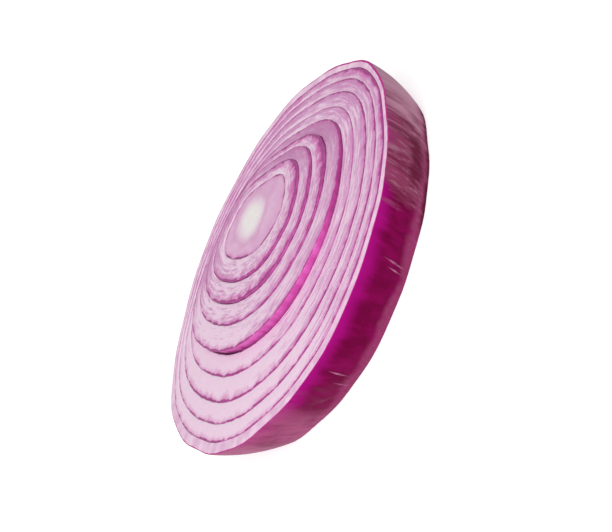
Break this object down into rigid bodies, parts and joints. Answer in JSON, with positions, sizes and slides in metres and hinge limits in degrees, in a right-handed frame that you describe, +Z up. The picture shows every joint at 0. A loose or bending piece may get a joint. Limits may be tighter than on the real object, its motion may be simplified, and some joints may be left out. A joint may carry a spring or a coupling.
{
  "type": "red onion slice",
  "caption": "Thick round slice of a red onion: nested scale rings round an off-centre pale core, with a purple skinned rim that narrows downwards.",
  "frame": {"origin": "on the plane that the slice rests on, under the middle of its outline", "axes": "+Z up, from the lower and smaller cut face to the upper and wider one; the core lies off centre towards +Y and a little towards +X, where the rings are thin"},
  "size_m": [0.0754, 0.0762, 0.0122],
  "materials": {
    "core_flesh": "moist pale cut flesh, nearly white, with a soft sheen",
    "flesh": "moist pale lilac-pink cut flesh with a soft sheen, purple where one scale meets the next",
    "skin": "smooth deep magenta skin of a scale, finely ribbed, with a soft gloss"
  },
  "bodies": {
    "root": {"core": "core_flesh", "ring_1": "flesh", "ring_2": "flesh", "ring_3": "flesh", "ring_4": "flesh", "ring_5": "flesh", "ring_6": "flesh", "ring_7": "flesh", "ring_8": "flesh", "outer_ring": "skin"}
  },
  "joints": []
}
